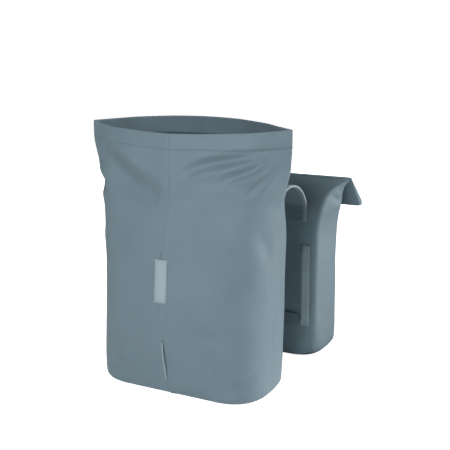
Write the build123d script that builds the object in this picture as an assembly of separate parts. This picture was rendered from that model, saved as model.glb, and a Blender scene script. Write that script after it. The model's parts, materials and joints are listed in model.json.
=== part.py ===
from build123d import *
import math
import os
from collections import namedtuple

# Double pannier bag: two equal roll-top bags joined by a fabric bridge that lies over a bicycle rack.
# X runs along the bags, +X towards the front of the bicycle, Y runs across it and Z is up.
# The origin is on the ground, midway between the bags. The right bag, on -Y, stands open.
# The left bag, on +Y, has its top folded over outwards. All sizes are in millimetres.
# Every bag part is made for the left side and mirrored for the right one.

# Driving dimensions of a bag
BAG_WIDTH = 330.0
BAG_DEPTH = 140.0
RACK_GAP = 160.0            # between the two back panels
OPEN_HEIGHT = 515.0         # at the mouth's corners
CREASE_HEIGHT = 387.0       # where the left bag's top folds over
MOUTH_HALF_LENGTH = 221.0
MOUTH_HALF_OPENING = 64.0
MOUTH_SLOPE = 0.1875        # the front lip hangs lower than the back one
CORNER_RADIUS = 18.0        # bottom corners, seen from the front
FABRIC = 1.2
SEAM_GAP = 0.3

HALF_WIDTH = BAG_WIDTH / 2
HALF_DEPTH = BAG_DEPTH / 2
BAG_CENTRE = RACK_GAP / 2 + HALF_DEPTH
BACK_FACE = RACK_GAP / 2
LIP_REACH = MOUTH_HALF_OPENING / 2    # where a lip's edges stand, and as much again for its bow

# Stiffening boards
BOARD = 3.0
BACK_BOARD_WIDTH = 290.0
BACK_BOARD_Z = (54.0, 328.0)
BASE_BOARD_WIDTH = 286.0
BASE_BOARD_CORNER = 44.0

# Trim on the outer face
SEAM_TAPE_WIDTH = 22.0
SEAM_TAPE = 0.6
REFLECTOR_WIDTH = 30.0
REFLECTOR_Z = (190.0, 272.0)
REFLECTOR = 0.8
LOOP_WIDTH = 5.0
LOOP_THICKNESS = 1.4
LOOP_STAND_OFF = 9.0
LOOP_Z = (34.0, 112.0)
LOOP_END = 8.0

# Trim on the back face: two upright webbing rails and two hook-and-loop straps
BACK_TRIM_GAP = 1.3         # clears the slight bow of the back panel
RAIL_X = (141.0, 161.0)
RAIL_Z = (72.0, 249.0)
RAIL_END = 12.0
RAIL_RAMP = 12.0
RAIL_STAND_OFF = 10.0
RAIL_THICKNESS = 1.6
STRAP_Z = (70.0, 98.0)
STRAP_THICKNESS = 1.8
STRAP_HINGE_X = 59.0
STRAP_TIP_X = 136.0
STRAP_HINGE_GAP = 1.2
PATCH_MARGIN = 4.0

# Closure tapes inside the mouth
TAPE_HALF_LENGTH = 120.0
TAPE_THICKNESS = 1.0
TAPE_SPAN = (0.22, 0.58)    # fractions of the way from the highest body level to the lip

# Bridge over the rack
BRIDGE_HALF_LENGTH = 150.0
BRIDGE_THICKNESS = 2.5
BRIDGE_APEX = 386.0
BRIDGE_HINGE_Z = 336.0
BRIDGE_TAB_Z = 300.0
BRIDGE_TAB_GAP = 1.0        # below the hinge line
BRIDGE_ARCH_GAP = 2.0       # beyond the hinge line
BRIDGE_HINGE_Y = BACK_FACE - BACK_TRIM_GAP - BRIDGE_THICKNESS / 2
BINDING_WIDTH = 10.0
BINDING = 0.8

# Folded top of the left bag
FOLD_LENGTH = 97.0
FOLD_DROP = 42.9            # degrees below the horizontal
FOLD_END_RADIUS = 10.0
FOLD_START = 3.0
FOLD_START_HALF = 1.5
FOLD_TAPE_SPAN = (52.0, 80.0)

# A level is one horizontal slice of a bag. half_width is where the outer and back panels end,
# front and back are those edges' distances from the bag's mid-plane, belly and sag are how far
# the middle of each panel stands out from its edges, reach is the gusset's furthest point, and
# tilt is how much a slice falls for each millimetre outwards.
Level = namedtuple("Level", "z half_width front back reach belly sag tilt")


def corner_level(z, belly):
    """A slice through the rounded bottom corners."""
    drop = CORNER_RADIUS - z
    half = HALF_WIDTH - CORNER_RADIUS + math.sqrt(CORNER_RADIUS**2 - drop**2)
    return Level(z, half, HALF_DEPTH, HALF_DEPTH, half, belly, 1.0, 0.0)


CORNER_LEVELS = [corner_level(0.0, 2.0), corner_level(5.0, 4.0), corner_level(11.0, 6.0)]
BODY_LEVELS = [
    Level(CORNER_RADIUS, HALF_WIDTH, 70.0, 70.0, 167.0, 9.0, 1.0, 0.0),
    Level(48.0, HALF_WIDTH, 70.0, 70.0, 170.0, 16.0, 1.0, 0.0),
    Level(112.0, 164.0, 70.0, 70.0, 172.0, 28.0, 1.0, 0.0),
    Level(190.0, 161.0, 70.0, 70.0, 173.0, 38.0, 1.0, 0.0),
]
OPEN_LEVELS = BODY_LEVELS + [
    Level(272.0, 162.0, 70.0, 70.0, 175.0, 32.0, 1.0, 0.0),
    Level(330.0, 164.0, 68.0, 69.5, 180.0, 17.0, 1.0, 0.0),
    Level(387.0, 163.0, 58.0, 62.0, 204.0, 14.0, 8.0, 0.0),
    Level(443.0, 160.0, 45.0, 48.0, 217.0, 26.0, 20.0, 0.0),
    Level(OPEN_HEIGHT, 157.0, LIP_REACH, LIP_REACH, MOUTH_HALF_LENGTH, LIP_REACH, LIP_REACH, MOUTH_SLOPE),
]
CLOSED_LEVELS = BODY_LEVELS + [
    Level(272.0, 162.0, 69.0, 70.0, 176.0, 20.0, 1.0, 0.0),
    Level(300.0, 163.0, 62.0, 70.0, 182.0, 9.0, 1.0, 0.0),
    Level(336.0, 166.0, 34.0, 70.0, 198.0, 2.0, 1.0, 0.0),
    Level(CREASE_HEIGHT - 6.0, 218.0, 2.0, 2.0, MOUTH_HALF_LENGTH, 0.5, 0.5, 0.0),
]


def between(low, high, fraction):
    """The slice part of the way from one level to the next."""
    return Level(*[a + (b - a) * fraction for a, b in zip(low, high)])


def level_at(levels, z):
    """The slice at a height below the mouth."""
    for low, high in zip(levels, levels[1:]):
        if low.z <= z <= high.z:
            return between(low, high, (z - low.z) / (high.z - low.z))
    raise ValueError(z)


def skin_distance(level, x, side):
    """How far the outer (side 1) or back (side -1) panel lies from the mid-plane at x."""
    edge, rise = (level.front, level.belly) if side > 0 else (level.back, level.sag)
    radius = (level.half_width**2 + rise**2) / (2 * rise)
    return edge + rise - radius + math.sqrt(radius**2 - x**2)


def slice_point(level, x, v):
    """A point of a slice, v outwards from the bag's mid-plane."""
    return Vector(x, BAG_CENTRE + v, level.z - level.tilt * v)


def skin_face(level, side, start, stop, outer, inner):
    """A slice of a layer that follows a panel from x = start to stop, between two offsets from it."""
    def arc(offset):
        middle = (start + stop) / 2
        distances = [skin_distance(level, x, side) + offset for x in (start, middle, stop)]
        points = [slice_point(level, x, side * v) for x, v in zip((start, middle, stop), distances)]
        return ThreePointArc(*points)

    top, bottom = arc(outer), arc(inner)
    ends = [Line(top @ 0, bottom @ 0), Line(top @ 1, bottom @ 1)]
    return Face(Wire([top, bottom] + ends))


def layer(levels, side, start, stop, outer, inner):
    """A layer that follows a panel through some levels. start and stop may depend on the level."""
    faces = [skin_face(level, side, start(level), stop(level), outer, inner) for level in levels]
    return loft(faces, ruled=True)


def outer_panel_half(levels, end):
    """Half of the outer face, from the centre seam to its fore (end 1) or aft (end -1) edge."""
    whole = CORNER_LEVELS + levels
    half = layer(whole, 1, lambda level: SEAM_GAP / 2, lambda level: level.half_width, 0.0, -FABRIC)
    return half if end > 0 else mirror(half, about=Plane.YZ)


def back_panel(levels):
    whole = CORNER_LEVELS + levels
    return layer(whole, -1, lambda level: -level.half_width, lambda level: level.half_width, 0.0, -FABRIC)


def gusset_face(level):
    """A slice of the fore gusset: a thin chevron between the two panels."""
    front = level.front - FABRIC - SEAM_GAP
    back = level.back - FABRIC - SEAM_GAP
    middle = (front - back) / 2
    run = level.reach - level.half_width
    shift = FABRIC * math.hypot(run, (front + back) / 2) / ((front + back) / 2)
    tips = [(level.half_width, front), (level.reach, middle), (level.half_width, -back)]
    outline = tips + [(x - shift, v) for x, v in reversed(tips)]
    return Face(Wire(Polyline(*[slice_point(level, x, v) for x, v in outline], close=True)))


def gusset(levels, end):
    """The side wall at the fore (end 1) or aft (end -1) side, above the rounded corner."""
    lowest = between(levels[0], levels[1], SEAM_GAP / (levels[1].z - levels[0].z))
    side = loft([gusset_face(level) for level in [lowest] + levels[1:]], ruled=True)
    return side if end > 0 else mirror(side, about=Plane.YZ)


def base_strip():
    """The band under the bag, turned up round both bottom corners."""
    def bent(radius, low):
        centre = HALF_WIDTH - CORNER_RADIUS
        slant = radius * math.sqrt(0.5)
        corner = [(centre, low), (centre + slant, CORNER_RADIUS - slant), (centre + radius, CORNER_RADIUS)]
        right = ThreePointArc(*[(x, 0, z) for x, z in corner])
        left = ThreePointArc(*[(-x, 0, z) for x, z in reversed(corner)])
        return left, Line(left @ 1, right @ 0), right

    outside = bent(CORNER_RADIUS, 0.0)
    inside = bent(CORNER_RADIUS - FABRIC, FABRIC)
    ends = [Line(outside[0] @ 0, inside[0] @ 0), Line(outside[2] @ 1, inside[2] @ 1)]
    profile = Face(Wire(list(outside) + list(inside) + ends))
    reach = HALF_DEPTH - FABRIC - SEAM_GAP
    return extrude(Pos(0, BAG_CENTRE, 0) * profile, reach, dir=(0, 1, 0), both=True)


def block(x, y, z):
    """A box given by its low and high values along each axis."""
    size = [high - low for low, high in (x, y, z)]
    centre = [(high + low) / 2 for low, high in (x, y, z)]
    return Pos(*centre) * Box(*size)


def back_board():
    inner = BACK_FACE + FABRIC + SEAM_GAP
    half = BACK_BOARD_WIDTH / 2
    return block((-half, half), (inner, inner + BOARD), BACK_BOARD_Z)


def base_board():
    low = FABRIC + SEAM_GAP
    depth = BAG_DEPTH - 2 * (FABRIC + BOARD)
    outline = RectangleRounded(BASE_BOARD_WIDTH, depth, BASE_BOARD_CORNER)
    return extrude(Pos(0, BAG_CENTRE, low) * outline, BOARD)


def seam_tape(levels):
    """Sealing tape behind the centre seam, from the bottom to under the closure tape."""
    half = SEAM_TAPE_WIDTH / 2
    top = between(levels[-2], levels[-1], TAPE_SPAN[0] - 0.05)
    chosen = CORNER_LEVELS[1:] + levels[:-1] + [top]
    skin = -FABRIC - SEAM_GAP
    return layer(chosen, 1, lambda level: -half, lambda level: half, skin, skin - SEAM_TAPE)


def reflector(levels):
    half = REFLECTOR_WIDTH / 2
    chosen = [level_at(levels, z) for z in REFLECTOR_Z]
    return layer(chosen, 1, lambda level: -half, lambda level: half, SEAM_GAP + REFLECTOR, SEAM_GAP)


def ribbon(path, thickness, start, stop):
    """Webbing of some thickness along an upright path of (y, z) points, from x = start to stop.
    The thickness lies on the left of the path's direction of travel."""
    directions = [(Vector(*b) - Vector(*a)).normalized() for a, b in zip(path, path[1:])]
    normals = [Vector(-d.Y, d.X) for d in directions]
    corners = [normals[0]]
    for first, second in zip(normals, normals[1:]):
        corners.append((first + second) / (1 + first.dot(second)))
    corners.append(normals[-1])
    far = [Vector(*point) + corner * thickness for point, corner in zip(path, corners)]
    outline = [Vector(start, point[0], point[1]) for point in path]
    outline += [Vector(start, point.X, point.Y) for point in reversed(far)]
    return extrude(Face(Wire(Polyline(*outline, close=True))), stop - start, dir=(1, 0, 0))


def light_loop(levels):
    """A narrow webbing loop for a rear light, sewn down at both ends over the centre seam."""
    def skin(z, lift):
        level = level_at(CORNER_LEVELS + levels, z)
        return (BAG_CENTRE + skin_distance(level, 0.0, 1) + lift, z)

    low, high = LOOP_Z
    sewn = SEAM_GAP + 0.4
    path = [skin(low, SEAM_GAP), skin(low + LOOP_END, sewn), skin(low + 2.5 * LOOP_END, LOOP_STAND_OFF)]
    path += [skin(high - 2.5 * LOOP_END, LOOP_STAND_OFF), skin(high - LOOP_END, sewn), skin(high, SEAM_GAP)]
    return ribbon(path[::-1], LOOP_THICKNESS, -LOOP_WIDTH / 2, LOOP_WIDTH / 2)


def rail(end):
    """Upright webbing on the back face, sewn at both ends and free between them."""
    low, high = RAIL_Z
    sewn = BACK_FACE - BACK_TRIM_GAP + 0.6
    lifted = BACK_FACE - RAIL_STAND_OFF
    path = [(sewn, low), (sewn, low + RAIL_END), (lifted, low + RAIL_END + RAIL_RAMP)]
    path += [(lifted, high - RAIL_END - RAIL_RAMP), (sewn, high - RAIL_END), (sewn, high)]
    webbing = ribbon(path, RAIL_THICKNESS, *RAIL_X)
    return webbing if end > 0 else mirror(webbing, about=Plane.YZ)


def strap_patch():
    """The sewn middle of the two straps."""
    half = STRAP_HINGE_X - STRAP_HINGE_GAP
    outer = BACK_FACE - BACK_TRIM_GAP
    z = (STRAP_Z[0] - PATCH_MARGIN, STRAP_Z[1] + PATCH_MARGIN)
    return block((-half, half), (outer - STRAP_THICKNESS, outer), z)


def strap(end):
    """The free tongue of a strap, with a rounded tip."""
    width = STRAP_Z[1] - STRAP_Z[0]
    tip = width / 2
    root = STRAP_HINGE_X + STRAP_HINGE_GAP
    middle = (STRAP_Z[0] + STRAP_Z[1]) / 2
    outer = BACK_FACE - BACK_TRIM_GAP
    y = (outer - STRAP_THICKNESS, outer)
    flat = block((root, STRAP_TIP_X - tip), y, STRAP_Z)
    end_disc = Rot(90, 0, 0) * Cylinder(tip, STRAP_THICKNESS)
    end_disc = Pos(STRAP_TIP_X - tip, (y[0] + y[1]) / 2, middle) * end_disc
    tongue = flat + end_disc
    return tongue if end > 0 else mirror(tongue, about=Plane.YZ)


def bridge_tab():
    """The end of the bridge, sewn down on the back face."""
    outer = BACK_FACE - BACK_TRIM_GAP
    y = (outer - BRIDGE_THICKNESS, outer)
    z = (BRIDGE_TAB_Z, BRIDGE_HINGE_Z - BRIDGE_TAB_GAP)
    return block((-BRIDGE_HALF_LENGTH, BRIDGE_HALF_LENGTH), y, z)


def lip_tape(levels, side):
    """Hook-and-loop tape inside the outer (side 1) or back (side -1) lip."""
    chosen = [between(levels[-2], levels[-1], fraction) for fraction in TAPE_SPAN]
    skin = -FABRIC - SEAM_GAP
    half = TAPE_HALF_LENGTH
    return layer(chosen, side, lambda level: -half, lambda level: half, skin, skin - TAPE_THICKNESS)


def arch_band(x, inner, outer):
    """Part of the bridge's arch between two distances from its middle surface."""
    rise = BRIDGE_APEX - BRIDGE_HINGE_Z
    radius = (BRIDGE_HINGE_Y**2 + rise**2) / (2 * rise)
    centre = BRIDGE_APEX - radius
    half_angle = math.asin(BRIDGE_HINGE_Y / radius) - BRIDGE_ARCH_GAP / radius

    def arc(distance):
        across = distance * math.sin(half_angle)
        up = centre + distance * math.cos(half_angle)
        return ThreePointArc((x[0], -across, up), (x[0], 0, centre + distance), (x[0], across, up))

    top, bottom = arc(radius + outer), arc(radius + inner)
    ends = [Line(top @ 0, bottom @ 0), Line(top @ 1, bottom @ 1)]
    return extrude(Face(Wire([top, bottom] + ends)), x[1] - x[0], dir=(1, 0, 0))


def bridge_panel():
    half = BRIDGE_THICKNESS / 2
    return arch_band((-BRIDGE_HALF_LENGTH, BRIDGE_HALF_LENGTH), -half, half)


def bridge_binding(end):
    """Tape folded over one edge of the bridge."""
    skin = BRIDGE_THICKNESS / 2 + SEAM_GAP / 2
    outside = BRIDGE_HALF_LENGTH + SEAM_GAP / 2
    x = (BRIDGE_HALF_LENGTH - BINDING_WIDTH, outside + BINDING)
    tape = arch_band(x, skin, skin + BINDING) + arch_band(x, -skin - BINDING, -skin)
    tape += arch_band((outside, outside + BINDING), -skin - BINDING, skin + BINDING)
    return tape if end > 0 else mirror(tape, about=Plane.YZ)


def fold_frame():
    """The folded top's own frame: local x runs down the fold, local y is its upper side."""
    plane = Plane(origin=(0, BAG_CENTRE, CREASE_HEIGHT), x_dir=(0, 1, 0), z_dir=(1, 0, 0))
    return plane * Rot(0, 0, -FOLD_DROP)


def fold_outline(inset):
    """The teardrop section of the folded top, drawn inset from its outer surface."""
    centre = FOLD_LENGTH - FOLD_END_RADIUS
    radius = FOLD_END_RADIUS - inset
    start = (FOLD_START + inset, FOLD_START_HALF - 0.6 * inset)
    lean = math.asin((FOLD_END_RADIUS - FOLD_START_HALF) / (centre - FOLD_START))
    shoulder = (centre - radius * math.sin(lean), radius * math.cos(lean))
    upper = Line(start, shoulder)
    tip = ThreePointArc(shoulder, (centre + radius, 0), (shoulder[0], -shoulder[1]))
    lower = Line(tip @ 1, (start[0], -start[1]))
    return Face(Wire([upper, tip, lower, Line(lower @ 1, start)]))


def folded_top():
    """The left bag's top, folded over outwards: a flat hollow pillow with a thick rounded end."""
    outside = extrude(fold_outline(0.0), MOUTH_HALF_LENGTH, both=True)
    inside = extrude(fold_outline(FABRIC), MOUTH_HALF_LENGTH - FABRIC, both=True)
    return fold_frame() * (outside - inside)


def fold_tape(side):
    """A closure tape inside the folded top, towards its upper (side 1) or lower (side -1) skin."""
    low, high = FOLD_TAPE_SPAN
    size = Box(high - low, TAPE_THICKNESS, 2 * TAPE_HALF_LENGTH)
    return fold_frame() * (Pos((low + high) / 2, side * (TAPE_THICKNESS + SEAM_GAP) / 2, 0) * size)


def bag_parts(levels):
    """The nodes that both bags have, on the left side."""
    return {
        "outer_panel_fore": outer_panel_half(levels, 1),
        "outer_panel_aft": outer_panel_half(levels, -1),
        "centre_seam_tape": seam_tape(levels),
        "back_panel": back_panel(levels),
        "gusset_fore": gusset(levels, 1),
        "gusset_aft": gusset(levels, -1),
        "base_strip": base_strip(),
        "back_board": back_board(),
        "base_board": base_board(),
        "reflective_strip": reflector(levels),
        "light_loop": light_loop(levels),
        "rail_fore": rail(1),
        "rail_aft": rail(-1),
        "strap_patch": strap_patch(),
        "strap_fore": strap(1),
        "strap_aft": strap(-1),
        "bridge_tab": bridge_tab(),
    }


def open_bag():
    parts = bag_parts(OPEN_LEVELS)
    parts["outer_lip_tape"] = lip_tape(OPEN_LEVELS, 1)
    parts["back_lip_tape"] = lip_tape(OPEN_LEVELS, -1)
    return {"right_" + name: mirror(shape, about=Plane.XZ) for name, shape in parts.items()}


def closed_bag():
    parts = bag_parts(CLOSED_LEVELS)
    parts["folded_top"] = folded_top()
    parts["fold_upper_tape"] = fold_tape(1)
    parts["fold_lower_tape"] = fold_tape(-1)
    return {"left_" + name: shape for name, shape in parts.items()}


def bridge():
    return {
        "bridge_panel": bridge_panel(),
        "bridge_binding_fore": bridge_binding(1),
        "bridge_binding_aft": bridge_binding(-1),
    }


os.makedirs("parts", exist_ok=True)
for node, shape in {**bridge(), **open_bag(), **closed_bag()}.items():
    export_step(shape, f"parts/{node}.step")
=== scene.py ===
import json
import math

import bpy
import numpy as np
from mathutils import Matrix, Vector


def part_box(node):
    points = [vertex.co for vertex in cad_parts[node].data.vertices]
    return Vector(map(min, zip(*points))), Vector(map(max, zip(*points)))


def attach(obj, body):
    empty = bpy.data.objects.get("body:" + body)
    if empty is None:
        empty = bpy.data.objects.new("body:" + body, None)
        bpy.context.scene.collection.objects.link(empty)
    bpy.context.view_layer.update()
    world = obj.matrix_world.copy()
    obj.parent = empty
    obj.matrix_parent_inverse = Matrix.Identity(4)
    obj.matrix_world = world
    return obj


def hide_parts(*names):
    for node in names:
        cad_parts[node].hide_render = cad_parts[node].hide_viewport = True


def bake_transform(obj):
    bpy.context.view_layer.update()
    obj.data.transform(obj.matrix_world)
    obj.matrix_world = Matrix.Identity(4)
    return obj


# A double roll-top pannier bag. The right bag, on -Y, stands open. The left bag, on +Y, has its
# top folded over outwards. A fabric bridge joins them. Metres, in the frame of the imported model.

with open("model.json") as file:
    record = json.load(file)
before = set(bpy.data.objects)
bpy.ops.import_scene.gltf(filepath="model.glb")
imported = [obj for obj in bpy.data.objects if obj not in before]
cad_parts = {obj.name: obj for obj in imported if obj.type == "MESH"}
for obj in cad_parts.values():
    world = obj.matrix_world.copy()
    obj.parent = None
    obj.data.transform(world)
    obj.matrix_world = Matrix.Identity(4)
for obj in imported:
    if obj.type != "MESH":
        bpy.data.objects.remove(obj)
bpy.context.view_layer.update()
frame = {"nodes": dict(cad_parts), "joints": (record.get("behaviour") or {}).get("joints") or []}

# Places, most of them read from the frame
BRIDGE_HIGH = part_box("bridge_panel")[1]
TAB_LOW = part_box("left_bridge_tab")[0]
RAIL_LOW, RAIL_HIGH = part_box("left_rail_fore")
STRAP_LOW, STRAP_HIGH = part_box("left_strap_fore")
PATCH_LOW, PATCH_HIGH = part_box("left_strap_patch")
REFLECTOR_LOW, REFLECTOR_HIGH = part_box("right_reflective_strip")
LOOP_LOW, LOOP_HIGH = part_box("right_light_loop")
FOLD_LOW, FOLD_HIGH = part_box("left_folded_top")
TAPE_LOW, TAPE_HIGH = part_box("right_outer_lip_tape")
BACK_TAPE_LOW, BACK_TAPE_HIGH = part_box("right_back_lip_tape")
PLACES = {joint["name"]: Vector(joint["pos_m"]) for joint in frame["joints"]}
FOLD_HINGE = PLACES["left_top_unfold"]
BRIDGE_HINGE = PLACES["left_bag_swing"]
STRAP_HINGE = PLACES["left_strap_fore_swing"]
MM = 0.001
BACK_PANEL_STEP = 1 * MM
BAG_DEPTH = 140 * MM
BACK_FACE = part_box("left_back_panel")[0].y + BACK_PANEL_STEP
BAG_CENTRE = BACK_FACE + BAG_DEPTH / 2

# Sizes of the fabric work
FABRIC = 1.2 * MM
END_EDGE = 17 * MM
SIDE_EDGE = 7 * MM
HEM = 35 * MM
HEM_STITCHES = 31 * MM
STITCH = 3.2 * MM
STITCH_PITCH = 4.4 * MM
THREAD = 0.35 * MM
CORNER_SPACING = 4 * MM
RAIL_TURN = math.radians(25)
RAIL_END_TURN = math.radians(8)
LOOP_FOOT = 7 * MM
LEFT_TAPE_TOP = 330 * MM
STRAP_EXTRA = 4 * MM
STRAP_LAY = 1.9 * MM
TAB_INSET = 12 * MM
TAB_BOX = 28 * MM
EDGE_OVERHANG = 0.6 * MM
EDGE_WIDTH = 9 * MM
BRIDGE_CLOTH = 2.2 * MM


# ---------------------------------------------------------------- mesh helpers

def mesh_piece(name, points, faces):
    mesh = bpy.data.meshes.new(name)
    mesh.from_pydata([tuple(p) for p in points], [], [tuple(int(i) for i in f) for f in faces])
    mesh.update()
    mesh.polygons.foreach_set("use_smooth", [True] * len(mesh.polygons))
    piece = bpy.data.objects.new(name, mesh)
    bpy.context.scene.collection.objects.link(piece)
    return piece


def grid_faces(rows, columns, closed=False, first=0):
    """Quads of a grid stored row by row. closed joins the last column to the first."""
    faces = []
    for row in range(rows - 1):
        for column in range(columns if closed else columns - 1):
            a = first + row * columns + column
            b = first + row * columns + (column + 1) % columns
            faces.append((a, b, b + columns, a + columns))
    return faces


def apply_modifiers(piece):
    graph = bpy.context.evaluated_depsgraph_get()
    mesh = bpy.data.meshes.new_from_object(piece.evaluated_get(graph))
    piece.modifiers.clear()
    piece.data = mesh
    return piece


def thicken(piece, thickness, offset=-1.0):
    """Gives a sheet its thickness, on its inner side by default."""
    solid = piece.modifiers.new("thickness", "SOLIDIFY")
    solid.thickness = thickness
    solid.offset = offset
    return apply_modifiers(piece)


def soften(piece, width):
    bevel = piece.modifiers.new("soften", "BEVEL")
    bevel.width = width
    bevel.segments = 2
    bevel.limit_method = "ANGLE"
    bevel.angle_limit = math.radians(40)
    apply_modifiers(piece)
    piece.data.polygons.foreach_set("use_smooth", [True] * len(piece.data.polygons))
    return piece


def steps(values, start, stop):
    """0 before start, 1 after stop and smooth between them."""
    t = np.clip((values - start) / (stop - start), 0, 1)
    return t * t * (3 - 2 * t)


def blurred(z, knots, values, spread):
    """Values at heights z: straight runs between the knots, rounded over about the spread."""
    offsets = np.linspace(-2.5, 2.5, 21)
    weights = np.exp(-offsets**2 / 2)
    samples = [np.interp(z + offset * spread, knots, values) for offset in offsets]
    return np.tensordot(weights / weights.sum(), np.array(samples), axes=1)


def grid_normals(points, closed):
    """Unit normals of a grid of points, by central differences."""
    if closed:
        across = np.roll(points, -1, axis=1) - np.roll(points, 1, axis=1)
    else:
        across = np.gradient(points, axis=1)
    normals = np.cross(across, np.gradient(points, axis=0))
    return normals / np.maximum(np.linalg.norm(normals, axis=2, keepdims=True), 1e-12)


# ---------------------------------------------------------------- folds in cloth

def curve_through(points):
    """A smooth line through a few points of the flat cloth."""
    points = np.array(points, float)
    t = np.linspace(0, 1, 60)
    if len(points) == 2:
        return points[0] + (points[1] - points[0]) * t[:, None]
    knots = np.linspace(0, 1, len(points))
    return np.stack([blurred(t, knots, points[:, axis], 0.10) for axis in range(2)], axis=1)


def fold(s, z, path, width, depth, ridge=0.4):
    """How far a fold moves the cloth outwards: a furrow along the path with ridges beside it."""
    line = curve_through(np.array(path) * MM)
    width = width * MM
    heading = np.gradient(line, axis=0)
    heading /= np.linalg.norm(heading, axis=1, keepdims=True)
    near = (s > line[:, 0].min() - 4 * width) & (s < line[:, 0].max() + 4 * width)
    near &= (z > line[:, 1].min() - 4 * width) & (z < line[:, 1].max() + 4 * width)
    ds = s[near][:, None] - line[:, 0]
    dz = z[near][:, None] - line[:, 1]
    nearest = np.argmin(ds**2 + dz**2, axis=1)
    pick = np.arange(len(nearest))
    ds, dz, heading = ds[pick, nearest], dz[pick, nearest], heading[nearest]
    beside = heading[:, 0] * dz - heading[:, 1] * ds
    beyond = heading[:, 0] * ds + heading[:, 1] * dz
    end = np.exp(-np.clip(np.abs(beyond) - 2 * MM, 0, None) ** 2 / (1.2 * width) ** 2)
    taper = np.sin(np.pi * np.clip(nearest / (len(line) - 1), 0.02, 0.98)) ** 0.7 * end
    furrow = -np.exp(-((beside / width) ** 2))
    furrow += ridge * np.exp(-(((beside - 1.7 * width) / width) ** 2))
    furrow += 0.6 * ridge * np.exp(-(((beside + 1.7 * width) / width) ** 2))
    moved = np.zeros_like(s)
    moved[near] = furrow * taper * depth * MM
    return moved


def ripple(s, z, seed, length, height):
    """Gentle unevenness of hanging cloth: a few long waves in fixed random directions."""
    rng = np.random.default_rng(seed)
    waves = 7
    total = np.zeros_like(s)
    for _ in range(waves):
        turn = rng.uniform(0, math.pi)
        phase = rng.uniform(0, 2 * math.pi)
        wave = length * MM * rng.uniform(0.7, 1.6)
        total += np.sin(2 * math.pi * (s * math.cos(turn) + z * math.sin(turn)) / wave + phase)
    return total * height * MM / math.sqrt(waves)


# ---------------------------------------------------------------- the skin of a bag

def panel_fractions():
    """Columns across a panel, closer together at the centre seam."""
    side = np.concatenate([[0.002, 0.005, 0.009, 0.016], np.linspace(0.03, 1, 52)])
    return (np.concatenate([-side[::-1], [0.0], side]) + 1) / 2


def ring_heights(top):
    corner = np.array([0, 0.4, 1.1, 2.2, 3.8, 6, 9, 13, 18, 24, 31, 39]) * MM
    hem = top - HEM
    body = np.arange(48 * MM, hem - 3 * MM, 3 * MM)
    seam = hem + np.array([-1.6, -0.7, 0, 0.7, 1.6]) * MM
    band = np.linspace(hem + 4 * MM, top, 12)
    return np.concatenate([corner, body, seam, band])


def run_length(line):
    """The distance travelled at each point of a line."""
    return np.concatenate([[0], np.cumsum(np.linalg.norm(np.diff(line, axis=0), axis=1))])


def turned(line, corner, reach):
    """Rounds one corner of a line with a curve that starts and ends a distance from it."""
    travelled = run_length(line)
    middle = travelled[corner]
    start, stop = middle - min(reach, 0.9 * middle), middle + min(reach, 0.45 * (travelled[-1] - middle))
    ends = [np.array([np.interp(d, travelled, line[:, k]) for k in (0, 1)]) for d in (start, stop)]
    near = (travelled > start) & (travelled < stop)
    u = ((travelled[near] - start) / (stop - start))[:, None]
    rounded = line.copy()
    rounded[near] = (1 - u) ** 2 * ends[0] + 2 * u * (1 - u) * line[corner] + u**2 * ends[1]
    return rounded


def half_outline(level):
    """The fore half of a ring, from the outer panel's middle to the back panel's, as (x, v) points.

    Also the distances travelled at the outer panel's corner and at the back panel's.
    """
    t = np.linspace(0, 1, 120)[:, None]
    ridge = 0.5 * (1 - t**2) + 0.5 * (1 - np.sqrt(t**2 + 0.0009))
    outer = np.hstack([level["half"] * t, level["front"] + level["belly"] * ridge])
    bow = 1 - np.abs(2 * t - 1) ** level["crease"]
    straight = level["half"] + (level["back_half"] - level["half"]) * t
    side = np.hstack([
        straight + (level["reach"] - (level["half"] + level["back_half"]) / 2) * bow,
        level["front"] - (level["front"] + level["back"]) * t,
    ])
    back = np.hstack([level["back_half"] * (1 - t), -level["back"] - level["sag"] * (1 - (1 - t) ** 2)])
    line = np.vstack([outer[:-1], side[:-1], back])
    first, second = len(outer) - 1, len(outer) + len(side) - 2
    line = turned(line, first, level["turn"])
    line = turned(line, second, level["back_turn"])
    travelled = run_length(line)
    return line, travelled[first], travelled[second]


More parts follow.
